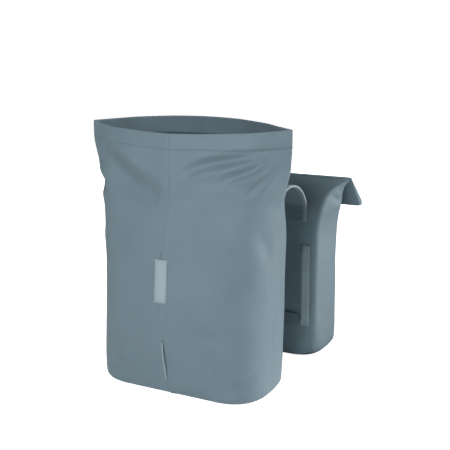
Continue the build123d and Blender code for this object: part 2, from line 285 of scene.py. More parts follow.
class Skin:
    """The outer surface of one bag's tube, as a grid of rings.

    A ring runs along the outer panel from aft to fore, round the fore gusset, along the back
    panel and round the aft gusset: q is 0-1, 1-2, 2-3 and 3-4 there. A level gives, in
    millimetres, its height, the half widths of the outer and back panels, their distances from
    the mid-plane, the gussets' reach, how far the two panels stand out in the middle, the
    sharpness of the gusset's crease, how far each corner's rounding runs, the ring's slope and
    how far it stands towards the fore.
    """

    def __init__(self, side, levels, spread, wrinkle):
        self.side = side
        across, deep = panel_fractions(), np.linspace(0, 1, 45)
        self.q = np.concatenate([across[:-1], 1 + deep[:-1], 2 + across[:-1], 3 + deep[:-1]])
        self.across, self.deep = len(across), len(deep)
        table = np.array(levels, float)
        self.z = ring_heights(table[-1, 0] * MM)
        names = ["half", "back_half", "front", "back", "reach", "belly", "sag"]
        names += ["crease", "turn", "back_turn", "slope", "lean"]
        knots = table[:, 0] * MM
        self.row = {n: blurred(self.z, knots, table[:, i + 1], spread * MM) for i, n in enumerate(names)}
        for name in names:
            if name not in ("crease", "slope"):
                self.row[name] = self.row[name] * MM
        self.round_bottom()
        self.points = self.rings()
        self.s = self.unrolled()
        heights = np.repeat(self.z[:, None], len(self.q), axis=1)
        normals = self.outward(self.points)
        self.points = self.points + normals * wrinkle(self, self.s, heights)[..., None]
        self.normals = self.outward(self.points)

    def round_bottom(self):
        """The soft edges round the base."""
        for names, radius in ((("half", "back_half", "reach"), END_EDGE), (("front", "back"), SIDE_EDGE)):
            drop = np.clip(radius - self.z, 0, None)
            inset = radius - np.sqrt(radius**2 - drop**2)
            for name in names:
                self.row[name] = self.row[name] - inset
        self.row["belly"] = self.row["belly"] * steps(self.z, -6 * MM, 30 * MM)

    def rings(self):
        """Every ring's points, from the fore half of its outline and the mirror image of that."""
        share = self.q % 1
        ends = np.abs(2 * share - 1)
        panel = np.floor(self.q).astype(int)
        fore = np.select([panel == 0, panel == 1, panel == 2], [share >= 0.5, True, share <= 0.5], False)
        deep = np.where(panel == 1, share, 1 - share)
        points = []
        for i, z in enumerate(self.z):
            outline, first, second = half_outline({name: values[i] for name, values in self.row.items()})
            travelled = run_length(outline)
            last = travelled[-1]
            place = np.select(
                [panel == 0, panel == 2],
                [ends * first, last - ends * (last - second)],
                first + deep * (second - first),
            )
            x = np.interp(place, travelled, outline[:, 0]) * np.where(fore, 1, -1) + self.row["lean"][i]
            v = np.interp(place, travelled, outline[:, 1])
            points.append(np.stack([x, self.side * (BAG_CENTRE + v), z - self.row["slope"][i] * v], axis=1))
        return np.array(points)

    def unrolled(self):
        """Distance round the ring from the middle of the outer panel, positive towards the fore."""
        step = np.linalg.norm(np.roll(self.points, -1, axis=1) - self.points, axis=2)
        travelled = np.cumsum(step, axis=1) - step
        middle = travelled[:, self.across // 2][:, None]
        whole = step.sum(axis=1)[:, None]
        return (travelled - middle + whole / 2) % whole - whole / 2

    def outward(self, points):
        return grid_normals(points, True) * -self.side

    def at(self, q, z):
        """The skin's point and normal at ring place q and ring height z."""
        row = np.interp(z, self.z, np.arange(len(self.z)))
        column = np.interp(q % 4, np.append(self.q, 4), np.arange(len(self.q) + 1))
        r0, c0 = int(min(row, len(self.z) - 2)), int(column)
        fr, fc, c1 = row - r0, column - c0, (c0 + 1) % len(self.q)
        c0 %= len(self.q)
        found = []
        for grid in (self.points, self.normals):
            low = grid[r0, c0] * (1 - fc) + grid[r0, c1] * fc
            high = grid[r0 + 1, c0] * (1 - fc) + grid[r0 + 1, c1] * fc
            found.append(low * (1 - fr) + high * fr)
        return found[0], found[1] / np.linalg.norm(found[1])

    def front_q(self, x, z):
        """The ring place at x on the outer panel."""
        row = np.abs(self.z - z).argmin()
        return np.interp(x, self.points[row, : self.across - 1, 0], self.q[: self.across - 1])

    def piece(self, name):
        """The skin as a mesh with its base, given the fabric's thickness on the inside."""
        rows, columns = self.points.shape[:2]
        points = list(self.points.reshape(-1, 3))
        faces = grid_faces(rows, columns, closed=True)
        faces += self.base(points)
        if self.side > 0:
            faces = [face[::-1] for face in faces]
        return thicken(mesh_piece(name, points, faces), FABRIC)

    def base(self, points):
        """Faces that close the lowest ring, in rows from the outer panel to the back one."""
        front = list(range(self.across))
        back_first = self.across - 1 + self.deep - 1
        back = [back_first + self.across - 1 - i for i in range(self.across)]
        rows = [front]
        for j in range(1, self.deep - 1):
            fore = self.across - 1 + j
            aft = (2 * (self.across - 1) + 2 * (self.deep - 1) - j) % len(self.q)
            fraction = j / (self.deep - 1)
            row = [aft]
            for i in range(1, self.across - 1):
                points.append(points[front[i]] * (1 - fraction) + points[back[i]] * fraction)
                row.append(len(points) - 1)
            rows.append(row + [fore])
        rows.append(back)
        faces = []
        for low, high in zip(rows, rows[1:]):
            for i in range(self.across - 1):
                faces.append((low[i], high[i], high[i + 1], low[i + 1]))
        return faces


def patch(name, skin, width, low, high, lift, thickness, columns=9, rows=40):
    """A strip over the outer panel's centre. It bows smoothly from edge to edge, over the seam."""
    across = np.linspace(-1, 1, columns)
    bow = 1 - across**2
    points = []
    for z in np.linspace(low, high, rows):
        found = [skin.at(skin.front_q(x * width / 2, z), z) for x in across]
        line = np.array([point for point, _ in found])
        out = sum(normal for _, normal in found)
        out /= np.linalg.norm(out)
        chord = line[0] + (line[-1] - line[0]) * (across[:, None] + 1) / 2
        inner = bow > 0.2
        rise = max(((line - chord) @ out)[inner] / bow[inner])
        points += list(chord + out * (rise * bow + lift)[:, None])
    faces = grid_faces(rows, columns)
    if skin.side > 0:
        faces = [face[::-1] for face in faces]
    return thicken(mesh_piece(name, points, faces), thickness)


def stitches(name, runs):
    """Short threads along runs of (points, normals), each a small six-sided grain."""
    points, faces = [], []
    for line, normals in runs:
        line, normals = np.array(line), np.array(normals)
        travelled = run_length(line)
        for start in np.arange(STITCH_PITCH / 2, travelled[-1] - STITCH, STITCH_PITCH):
            ends = [np.array([np.interp(d, travelled, line[:, k]) for k in range(3)])
                    for d in (start, start + STITCH)]
            up = np.array([np.interp(start, travelled, normals[:, k]) for k in range(3)])
            along = (ends[1] - ends[0]) / np.linalg.norm(ends[1] - ends[0])
            up = up - along * (up @ along)
            up /= np.linalg.norm(up)
            beside = np.cross(along, up)
            first = len(points)
            for share, size in ((0, 0.35), (0.15, 0.9), (0.5, 1.1), (0.85, 0.9), (1, 0.35)):
                centre = ends[0] + (ends[1] - ends[0]) * share + up * THREAD * 0.35 * size
                for k in range(6):
                    turn = k * math.pi / 3
                    points.append(centre + (beside * math.cos(turn) + up * math.sin(turn)) * THREAD * size)
            faces += grid_faces(5, 6, closed=True, first=first)
            faces.append(tuple(range(first, first + 6))[::-1])
            faces.append(tuple(range(first + 24, first + 30)))
    return mesh_piece(name, points, faces)


def skin_run(skin, places, lift=0.0):
    """Points and normals on a skin at a list of (q, z) places."""
    found = [skin.at(q, z) for q, z in places]
    return [p + n * lift for p, n in found], [n for _, n in found]


def drawn(corners):
    """Points along straight runs between corners."""
    points = [corners[0]]
    for first, second in zip(corners, corners[1:]):
        first, second = np.array(first), np.array(second)
        count = max(2, int(np.linalg.norm(second - first) / CORNER_SPACING))
        points += [first + (second - first) * i / count for i in range(1, count + 1)]
    return points


def rectangle(x, z, inset=0.0):
    """The closed outline of a rectangle in the XZ plane, set in from the given limits."""
    low_x, high_x, low_z, high_z = x[0] + inset, x[1] - inset, z[0] + inset, z[1] - inset
    return [(low_x, low_z), (high_x, low_z), (high_x, high_z), (low_x, high_z), (low_x, low_z)]


# ---------------------------------------------------------------- the two bags' shapes

# height, half width, back half width, front, back, reach, belly, sag, crease, turn, back turn, slope, lean
OPEN_LEVELS = [
    (0, 171, 171, 79, 70, 180, 3, 1, 2.2, 60, 12, 0, 0),
    (48, 171, 174, 79, 70, 180, 11, 1, 2.2, 60, 12, 0, 0),
    (112, 167, 176, 78, 70, 180, 24, 1, 2.0, 58, 11, 0, 0),
    (190, 161, 177, 75, 70, 181, 34, 1, 1.8, 56, 11, 0, 0),
    (272, 160, 177, 72, 70, 182, 30, 1, 1.7, 52, 11, 0, 0),
    (330, 158, 177, 69, 70, 187, 17, 1, 1.5, 44, 11, 0, 0),
    (387, 160, 174, 58, 66, 199, 13, 8, 1.25, 32, 11, 0, 0),
    (418, 160, 169, 52, 59, 205, 19, 13, 1.15, 25, 10, 0.01, 2.4),
    (443, 159, 163, 46, 51, 214, 25, 19, 1.05, 18, 9, 0.03, 1),
    (480, 158, 158, 38, 39, 221, 30, 27, 1.0, 8, 6, 0.12, -2.4),
    (515, 157, 157, 32, 32, 221, 32, 32, 1.0, 3, 3, 0.1875, -3.2),
]
CLOSED_LEVELS = [
    (0, 168, 172, 74, 70, 176, 3, 1, 2.2, 34, 44, 0, 0),
    (48, 169, 174, 76, 70, 177, 12, 1, 2.2, 34, 26, 0, 0),
    (112, 165, 173.5, 74, 70, 179, 24, 1, 2.0, 34, 11, 0, 0),
    (190, 164, 173, 72, 70, 180, 33, 1, 1.8, 34, 9, 0, 0),
    (272, 165, 173.5, 70, 70, 185, 18, 1, 1.6, 28, 9, 0, 0),
    (300, 169, 176, 65, 70, 190, 9, 1, 1.5, 22, 9, 0, 0),
    (322, 178, 181, 54, 69, 197, 4, 1, 1.35, 14, 9, 0, 0),
    (345, 187, 183, 36, 60, 201, 2, 1, 1.2, 10, 8, 0, 0),
    (360, 194, 185, 20, 42, 203, 1, 1, 1.1, 7, 7, 0, 0),
    (372, 203, 195, 9, 22, 208, 0.5, 1, 1.0, 5, 5, 0, 0),
    (380, 213, 209, 4, 9, 216, 0.3, 0.5, 1.0, 3, 3, 0, 0),
    (386, 219, 219, 1.6, 1.6, 221, 0.1, 0.1, 1.0, 0.8, 0.8, 0, 0),
]


def open_wrinkles(skin, s, z):
    """The open bag's creases, in millimetres round the bag from the centre seam and up from the ground."""
    moved = ripple(s, z, 11, 150, 1.2) * steps(z, 0.02, 0.08)
    moved += ripple(s, z, 12, 60, 0.5) * steps(z, 0.20, 0.40)
    # the collar's slack pulls down from the fore end of the hem
    moved += fold(s, z, [(212, 476), (130, 467), (60, 452), (20, 428)], 11, 10.0, ridge=0.5)
    moved += fold(s, z, [(205, 466), (150, 442), (92, 416)], 9, 8.0, ridge=0.5)
    moved += fold(s, z, [(210, 458), (178, 424), (150, 396)], 8, 4.5, ridge=0.5)
    moved += fold(s, z, [(165, 421), (135, 411), (105, 414)], 5, 3.0)
    moved += fold(s, z, [(110, 392), (70, 376), (30, 368)], 15, 3.2)
    # a deep hollow across the aft half, below the hem
    moved += fold(s, z, [(-200, 470), (-145, 432), (-84, 398), (-12, 378)], 26, 19.0, ridge=0.4)
    moved += fold(s, z, [(-150, 458), (-122, 452), (-92, 430)], 10, 3.0)
    moved += fold(s, z, [(-245, 414), (-205, 398), (-150, 388)], 12, 8.0, ridge=0.5)
    moved += fold(s, z, [(-120, 372), (-80, 352), (-40, 348)], 16, 2.5)
    # slack over the belly and the lower corners
    moved += fold(s, z, [(55, 128), (90, 136), (138, 120)], 10, 3.4)
    moved += fold(s, z, [(112, 22), (148, 34), (190, 66)], 9, 3.2)
    moved += fold(s, z, [(-160, 70), (-125, 44), (-80, 32)], 13, 2.2)
    moved += fold(s, z, [(120, 300), (150, 270), (165, 215)], 20, 2.4)
    # the crease down the middle of each gusset
    for sign in (-1, 1):
        moved += fold(s, z, [(sign * 236, 60), (sign * 237, 180)], 4, 1.2)
        moved += fold(s, z, [(sign * 200, 384), (sign * 236, 364), (sign * 275, 384)], 15, 2.0)
        moved += fold(s, z, [(sign * 180, 330), (sign * 205, 300), (sign * 215, 262)], 13, 2.6)
    # the back panel's collar
    moved += fold(s, z, [(330, 455), (390, 430), (440, 425)], 16, 5.0)
    moved += fold(s, z, [(-320, 460), (-380, 440), (-430, 405)], 15, 5.0)
    moved += fold(s, z, [(-300, 390), (-360, 372), (-420, 368)], 12, 3.6)
    moved += hem_line(s, z, skin.z[-1])
    return moved + seam_lap(s, z)


def closed_wrinkles(skin, s, z):
    """The closed bag's creases: the folded gussets and the pull of the flattened collar."""
    top = skin.z[-1]
    fade = steps(-z, -top, -top + 20 * MM)
    moved = ripple(s, z, 21, 140, 0.8) * steps(z, 0.02, 0.08) * fade
    for sign in (-1, 1):
        moved += fold(s, z, [(sign * 168, 318), (sign * 200, 336), (sign * 226, 372)], 6, -1.6) * fade
        moved += fold(s, z, [(sign * 205, 350), (sign * 232, 338), (sign * 262, 352)], 8, 2.6) * fade
        moved += fold(s, z, [(sign * 236, 60), (sign * 237, 260)], 4, 0.9)
        moved += fold(s, z, [(sign * 300, 356), (sign * 345, 340), (sign * 400, 346)], 12, 1.8) * fade
        moved += fold(s, z, [(sign * 120, 330), (sign * 70, 318), (sign * 30, 322)], 13, 2.0) * fade
        moved += fold(s, z, [(sign * 300, 36), (sign * 340, 50), (sign * 380, 44)], 10, 1.2)
    return moved + seam_lap(s, z) * fade


def hem_line(s, z, top):
    """The lip's hem: a doubled band above a stitched furrow, which lies flatter on the aft half."""
    band = steps(z, top - HEM - 1 * MM, top - HEM + 2 * MM) * 0.5 * MM
    pull = 0.25 + 0.75 * steps(s, -40 * MM, 30 * MM)
    return (band - np.exp(-(((z - top + HEM) / (1.3 * MM)) ** 2)) * 0.9 * MM) * pull


def seam_lap(s, z):
    """The centre seam: the fore half laps a little way over the aft half."""
    lap = 1.1 * MM * (s > 0.2 * MM) * np.exp(-((np.clip(s, 0, None) / (12 * MM)) ** 4))
    return lap - 1.2 * MM * np.exp(-(((s + 0.6 * MM) / (1.3 * MM)) ** 2))


# ---------------------------------------------------------------- materials

def new_material(name):
    material = bpy.data.materials.new(name)
    material.use_nodes = True
    tree = material.node_tree
    return material, tree, tree.nodes["Principled BSDF"]


def node(tree, kind, **settings):
    made = tree.nodes.new(kind)
    for key, value in settings.items():
        if key in made.inputs:
            made.inputs[key].default_value = value
        else:
            setattr(made, key, value)
    return made


def weave(tree, threads):
    """A plain weave's height, from two sets of thread waves in object space."""
    link = tree.links.new
    place = node(tree, "ShaderNodeTexCoord")
    split = node(tree, "ShaderNodeSeparateXYZ")
    link(place.outputs["Object"], split.inputs[0])
    level = node(tree, "ShaderNodeMath", operation="ADD")
    link(split.outputs["X"], level.inputs[0])
    link(split.outputs["Y"], level.inputs[1])
    heights = []
    for source in (level.outputs[0], split.outputs["Z"]):
        scaled = node(tree, "ShaderNodeMath", operation="MULTIPLY")
        scaled.inputs[1].default_value = threads * 2 * math.pi
        link(source, scaled.inputs[0])
        wave = node(tree, "ShaderNodeMath", operation="SINE")
        link(scaled.outputs[0], wave.inputs[0])
        heights.append(wave.outputs[0])
    product = node(tree, "ShaderNodeMath", operation="MULTIPLY")
    link(heights[0], product.inputs[0])
    link(heights[1], product.inputs[1])
    return product.outputs[0], place.outputs["Object"]


def cloth(name, colour, rough, threads, depth, mottling=0.05, sheen=0.1):
    """Woven cloth: weave bump, slow colour variation and a little wear."""
    material, tree, shader = new_material(name)
    link = tree.links.new
    shader.inputs["Specular IOR Level"].default_value = 0.28
    shader.inputs["Sheen Weight"].default_value = sheen
    shader.inputs["Sheen Roughness"].default_value = 0.5
    height, place = weave(tree, threads)
    cloud = node(tree, "ShaderNodeTexNoise", Scale=14.0, Detail=4.0, Roughness=0.55)
    grain = node(tree, "ShaderNodeTexNoise", Scale=900.0, Detail=2.0, Roughness=0.6)
    link(place, cloud.inputs["Vector"])
    link(place, grain.inputs["Vector"])
    ramp = node(tree, "ShaderNodeValToRGB")
    low = [c * (1 - mottling) for c in colour]
    high = [min(1, c * (1 + mottling)) for c in colour]
    ramp.color_ramp.elements[0].position = 0.3
    ramp.color_ramp.elements[0].color = (*low, 1)
    ramp.color_ramp.elements[1].position = 0.7
    ramp.color_ramp.elements[1].color = (*high, 1)
    link(cloud.outputs["Fac"], ramp.inputs["Fac"])
    tint = node(tree, "ShaderNodeMix", data_type="RGBA", blend_type="MULTIPLY")
    tint.inputs["Factor"].default_value = 0.16
    link(ramp.outputs["Color"], tint.inputs[6])
    link(grain.outputs["Color"], tint.inputs[7])
    link(tint.outputs[2], shader.inputs["Base Color"])
    roughness = node(tree, "ShaderNodeMapRange")
    roughness.inputs["To Min"].default_value = rough - 0.06
    roughness.inputs["To Max"].default_value = rough + 0.06
    link(cloud.outputs["Fac"], roughness.inputs["Value"])
    link(roughness.outputs["Result"], shader.inputs["Roughness"])
    both = node(tree, "ShaderNodeMath", operation="MULTIPLY_ADD")
    both.inputs[1].default_value = 0.6
    link(height, both.inputs[0])
    link(grain.outputs["Fac"], both.inputs[2])
    bump = node(tree, "ShaderNodeBump", Strength=0.5, Distance=depth)
    link(both.outputs[0], bump.inputs["Height"])
    link(bump.outputs["Normal"], shader.inputs["Normal"])
    return material


def plastic(name, colour, rough):
    """Moulded or sheet plastic with a fine grain."""
    material, tree, shader = new_material(name)
    link = tree.links.new
    shader.inputs["Roughness"].default_value = rough
    place = node(tree, "ShaderNodeTexCoord")
    grain = node(tree, "ShaderNodeTexNoise", Scale=1400.0, Detail=2.0)
    cloud = node(tree, "ShaderNodeTexNoise", Scale=25.0, Detail=3.0)
    link(place.outputs["Object"], grain.inputs["Vector"])
    link(place.outputs["Object"], cloud.inputs["Vector"])
    ramp = node(tree, "ShaderNodeValToRGB")
    ramp.color_ramp.elements[0].color = (*[c * 0.85 for c in colour], 1)
    ramp.color_ramp.elements[1].color = (*[c * 1.15 for c in colour], 1)
    link(cloud.outputs["Fac"], ramp.inputs["Fac"])
    link(ramp.outputs["Color"], shader.inputs["Base Color"])
    bump = node(tree, "ShaderNodeBump", Strength=0.3, Distance=0.0001)
    link(grain.outputs["Fac"], bump.inputs["Height"])
    link(bump.outputs["Normal"], shader.inputs["Normal"])
    return material


SHELL = cloth("coated_fabric", (0.149, 0.213, 0.250), 0.62, 1100, 0.00010)
# The lining is the shell fabric painted darker: painted shade for the inside of the bag.
LINING_PAINTED_SHADE = cloth("lining_painted_shade", (0.122, 0.172, 0.205), 0.55, 1100, 0.00008)
WEBBING = cloth("webbing", (0.215, 0.290, 0.322), 0.75, 450, 0.00035, mottling=0.08, sheen=0.2)
STRAP = cloth("strap", (0.120, 0.175, 0.200), 0.85, 600, 0.00030, mottling=0.1, sheen=0.25)
TAPE = cloth("closure_tape", (0.050, 0.075, 0.088), 0.9, 700, 0.00045, mottling=0.12, sheen=0.3)
SEAM_TAPE = cloth("seam_tape", (0.125, 0.175, 0.198), 0.45, 900, 0.00005)
REFLECTIVE = cloth("reflective_strip", (0.305, 0.385, 0.425), 0.42, 380, 0.00012, mottling=0.05, sheen=0.05)
REFLECTIVE_EDGE = cloth("reflective_edge", (0.280, 0.360, 0.400), 0.55, 380, 0.00010)
EDGING = cloth("edging", (0.235, 0.305, 0.338), 0.6, 500, 0.00020, mottling=0.06)
THREAD_FINISH = cloth("thread", (0.060, 0.090, 0.105), 0.7, 2200, 0.00006)
BOARD = plastic("stiffener", (0.030, 0.032, 0.035), 0.5)


def dress(piece, material, slot, body, *replaced):
    """Gives a piece its material, its body and the CAD nodes that it stands for. The slot is not used."""
    piece.data.materials.clear()
    piece.data.materials.append(material)
    if body:
        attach(piece, body)
    if replaced:
        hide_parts(*replaced)
    return piece


# ---------------------------------------------------------------- bag pieces

def shell(side, name, skin):
    nodes = ["outer_panel_fore", "outer_panel_aft", "back_panel", "gusset_fore", "gusset_aft", "base_strip"]
    piece = skin.piece(f"{name}_shell")
    dress(piece, SHELL, "coated_fabric", f"{name}_bag", *[f"{name}_{n}" for n in nodes])
    # The inner faces take the darker lining, which is painted shade inside the bag.
    piece.data.materials.append(LINING_PAINTED_SHADE)
    outer = (len(piece.data.polygons) - len(skin.q)) // 2
    for face in piece.data.polygons[outer : 2 * outer]:
        face.material_index = 1


def reflective_strip(name, skin):
    low, high = REFLECTOR_LOW.z, REFLECTOR_HIGH.z
    width = REFLECTOR_HIGH.x - REFLECTOR_LOW.x
    border = patch(f"{name}_reflective_border", skin, width, low, high, 0.8 * MM, 0.7 * MM, 11, 34)
    dress(border, REFLECTIVE_EDGE, "reflective_strip", f"{name}_bag", f"{name}_reflective_strip")
    inset = 2.2 * MM
    field_name, field_width = f"{name}_reflective_field", width - 2 * inset
    field = patch(field_name, skin, field_width, low + inset, high - 5 * MM, 1.15 * MM, 0.5 * MM, 9, 30)
    dress(field, REFLECTIVE, "reflective_strip", f"{name}_bag")


def seam_tape(name, skin, top):
    tape = patch(f"{name}_seam_tape", skin, 22 * MM, 14 * MM, top, -4.8 * MM, 0.4 * MM, 7, 60)
    dress(tape, SEAM_TAPE, "seam_tape", f"{name}_bag", f"{name}_centre_seam_tape")


def light_loop(name, skin):
    """Narrow webbing that bows away from the skin between its two sewn ends."""
    low, high = LOOP_LOW.z, LOOP_HIGH.z
    knots = low + (high - low) * np.array([0, 0.09, 0.16, 0.36, 0.66, 0.84, 0.93, 1])
    lifts = np.array([2.2, 2.4, 3.2, 4.4, 5.4, 5.0, 2.6, 2.2]) * MM
    heights = np.linspace(low, high, 56)
    lift = blurred(heights, knots, lifts, 1.6 * MM)
    section = [(-2.5, -0.35), (-2.2, 0.35), (-0.8, 0.7), (0.8, 0.7), (2.2, 0.35), (2.5, -0.35), (0, -0.7)]
    points = []
    for z, off in zip(heights, lift):
        beside = [skin.at(skin.front_q(x, z), z) for x in (-LOOP_FOOT, LOOP_FOOT)]
        point, normal = (beside[0][0] + beside[1][0]) / 2, beside[0][1] + beside[1][1]
        normal /= np.linalg.norm(normal)
        for x, up in section:
            points.append(point + normal * (off + up * MM) + np.array([x * MM, 0, 0]))
    count = len(section)
    faces = grid_faces(len(heights), count, closed=True)
    faces += [tuple(range(count))[::-1], tuple(range(len(points) - count, len(points)))]
    if skin.side > 0:
        faces = [face[::-1] for face in faces]
    loop = mesh_piece(f"{name}_light_webbing", points, faces)
    dress(loop, EDGING, "webbing", f"{name}_bag", f"{name}_light_loop")


def lip_tape(skin, name, side_word, q_middle, node_name):
    """Closure tape on the inside of the lip."""
    points, rows, columns = [], 10, 60
    low = (TAPE_LOW.z + BACK_TAPE_LOW.z) / 2
    high = (TAPE_HIGH.z + BACK_TAPE_HIGH.z) / 2
    reach = TAPE_HIGH.x
    for z in np.linspace(low, high, rows):
        half = np.interp(z, skin.z, skin.row["half"])
        for x in np.linspace(-reach, reach, columns):
            point, normal = skin.at(q_middle + x / (2 * half), z)
            points.append(point - normal * (FABRIC + 0.2 * MM))
    faces = grid_faces(rows, columns)
    if skin.side > 0:
        faces = [face[::-1] for face in faces]
    tape = thicken(mesh_piece(f"{name}_{side_word}_closure", points, faces), 1.0 * MM)
    dress(tape, TAPE, "closure_tape", f"{name}_bag", node_name)


def webbing_rail(name, side, end):
    """Upright webbing on the back face. Its outer edge is held, and its inner edge stands off."""
    low, high = RAIL_LOW.z, RAIL_HIGH.z
    heights = np.linspace(low, high, 90)
    turn = RAIL_END_TURN + (RAIL_TURN - RAIL_END_TURN) * (
        steps(heights, low + 3 * MM, low + 16 * MM) * steps(-heights, -high + 3 * MM, -high + 16 * MM)
    )
    width, thick = RAIL_HIGH.x - RAIL_LOW.x - 2 * MM, 0.8 * MM
    outline = [(0, 0), (0.02, 1), (0.25, 1.15), (0.5, 1), (0.75, 1.15), (0.98, 1), (1, 0)]
    outline += [(0.98, -1), (0.5, -1), (0.02, -1)]
    points = []
    for z, angle in zip(heights, turn):
        for a, b in outline:
            along, out = -(1 - a) * width, b * thick
            x = RAIL_HIGH.x - 0.5 * MM + along * math.cos(angle) + out * math.sin(angle)
            y = BACK_FACE - 2.2 * MM + along * math.sin(angle) - out * math.cos(angle)
            points.append((end * x, side * y, z))
    count = len(outline)
    faces = grid_faces(len(heights), count, closed=True)
    faces += [tuple(range(count))[::-1], tuple(range(len(points) - count, len(points)))]
    if side * end < 0:
        faces = [face[::-1] for face in faces]
    word = "fore" if end > 0 else "aft"
    piece = mesh_piece(f"{name}_rail_webbing_{word}", points, faces)
    dress(piece, WEBBING, "webbing", f"{name}_bag", f"{name}_rail_{word}")


def rounded_plate(name, low, high, corner, thickness, steps_x, bow=0.0, tip=False):
    """A flat strip in the XZ plane with rounded corners, or a round tip at its high x end."""
    width = high.x - low.x
    middle, half = (low.z + high.z) / 2, (high.z - low.z) / 2
    rows, points = 9, []
    for i in range(steps_x + 1):
        share = i / steps_x
        x = low.x + width * share
        reach = half
        into = x - (high.x - half) if tip else -1
        if into > 0:
            reach = math.sqrt(max(half**2 - into**2, (0.12 * half) ** 2))
        edge = min(x - low.x, high.x - x) if not tip else x - low.x
        if edge < corner:
            reach = half - corner + math.sqrt(max(corner**2 - (corner - edge) ** 2, 0))
        for j in range(rows):
            z = middle + reach * (2 * j / (rows - 1) - 1)
            points.append((x, (low.y + high.y) / 2 + bow * math.sin(math.pi * share), z))
    piece = mesh_piece(name, points, grid_faces(steps_x + 1, rows))
    return soften(thicken(piece, thickness, 0.0), 0.3 * thickness)


def mirrored(piece, x, y):
    """Mirrors a piece made for the left bag's fore end."""
    for vertex in piece.data.vertices:
        vertex.co.x *= x
        vertex.co.y *= y
    if x * y < 0:
        piece.data.flip_normals()
    return piece


def back_straps(name, side):
    """The sewn patch and the two free tongues of the hook-and-loop straps."""
    middle = rounded_plate(f"{name}_strap_middle", PATCH_LOW, PATCH_HIGH, 3 * MM, 1.8 * MM, 40)
    dress(mirrored(middle, 1, side), STRAP, "strap", f"{name}_bag", f"{name}_strap_patch")
    for end, word in ((1, "fore"), (-1, "aft")):
        low = Vector((STRAP_HINGE.x - 14 * MM, STRAP_LOW.y - STRAP_LAY, STRAP_LOW.z))
        high = Vector((STRAP_HIGH.x + STRAP_EXTRA, STRAP_HIGH.y - STRAP_LAY, STRAP_HIGH.z))
        tongue_name = f"{name}_strap_tongue_{word}"
        tongue = rounded_plate(tongue_name, low, high, 1 * MM, 1.6 * MM, 60, -1.5 * MM, True)
        dress(mirrored(tongue, end, side), STRAP, "strap", None, f"{name}_strap_{word}")
        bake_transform(tongue)


# ---------------------------------------------------------------- bridge

def bridge_path():
    """The bridge's line from its middle to the end of its tab, as (y, z) points and outward normals."""
    rise = BRIDGE_HIGH.z - 1.25 * MM - BRIDGE_HINGE.z
    radius = (BRIDGE_HINGE.y**2 + rise**2) / (2 * rise)
    centre = BRIDGE_HINGE.z + rise - radius
    widest = math.asin(BRIDGE_HINGE.y / radius)
    arc = [(radius * math.sin(a), centre + radius * math.cos(a)) for a in np.linspace(0, widest, 30)]
    tab = [(BRIDGE_HINGE.y, z) for z in np.linspace(BRIDGE_HINGE.z, TAB_LOW.z, 14)[1:]]
    line = np.array(arc + tab)
    soft = line.copy()
    for i in range(2, len(line) - 2):
        soft[i] = (line[i - 1] + 2 * line[i] + line[i + 1]) / 4
    heading = np.gradient(soft, axis=0)
    heading /= np.linalg.norm(heading, axis=1, keepdims=True)
    return soft, np.stack([-heading[:, 1], heading[:, 0]], axis=1)


def bridge_waver(x, y):
    """The bridge cloth's unevenness, none at its edges."""
    return 1.2 * MM * math.sin(x * 31) * math.cos(y * 44) * math.cos(math.pi * x / 0.31)


def bridge_strip(name, side, x_places, lift, thickness, uneven=False):
    """Part of the bridge on one side of its middle, from the apex over the hinge to the tab's end."""
    line, normals = bridge_path()
    points = []
    for (y, z), (ny, nz) in zip(line, normals):
        for x in x_places:
            off = lift + (bridge_waver(x, y) if uneven else 0)
            points.append((x, side * (y + ny * off), z + nz * off))
    faces = grid_faces(len(line), len(x_places))
    if side > 0:
        faces = [face[::-1] for face in faces]
    piece = thicken(mesh_piece(name, points, faces), thickness, 0.0)
    for rim_face in piece.data.polygons[2 * len(faces):]:
        rim_face.use_smooth = False
    return piece


def bridge_half(name, side):
    """One half of the bridge and its edge tapes, bending where the bag swings."""
    reach = BRIDGE_HIGH.x
    across = np.linspace(-reach, reach, 61)
    cloth_half = bridge_strip(f"{name}_bridge_half", side, across, 0, BRIDGE_CLOTH, True)
    dress(cloth_half, SHELL, "coated_fabric", None, "bridge_panel", f"{name}_bridge_tab")
    pieces = [cloth_half]
    for end, word in ((1, "fore"), (-1, "aft")):
        outer = reach + EDGE_OVERHANG
        inner = reach - EDGE_WIDTH
        for lift, layer, finish in ((1.7 * MM, "upper", WEBBING), (-1.7 * MM, "under", EDGING)):
            places = end * np.array([inner, (inner + outer) / 2, outer - 1 * MM, outer])
            strip = bridge_strip(f"{name}_bridge_edge_{word}_{layer}", side, places[::end], lift, 0.9 * MM)
            dress(strip, finish, "webbing", None, f"bridge_binding_{word}")
            pieces.append(strip)
        places = end * np.array([outer - 0.5 * MM, outer + 0.3 * MM])
        rim = bridge_strip(f"{name}_bridge_edge_{word}_rim", side, places[::end], 0, 4.2 * MM)
        dress(soften(rim, 0.3 * MM), EDGING, "webbing", None, f"bridge_binding_{word}")
        pieces.append(rim)
    for piece in pieces:
        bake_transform(piece)
    line, _ = bridge_path()


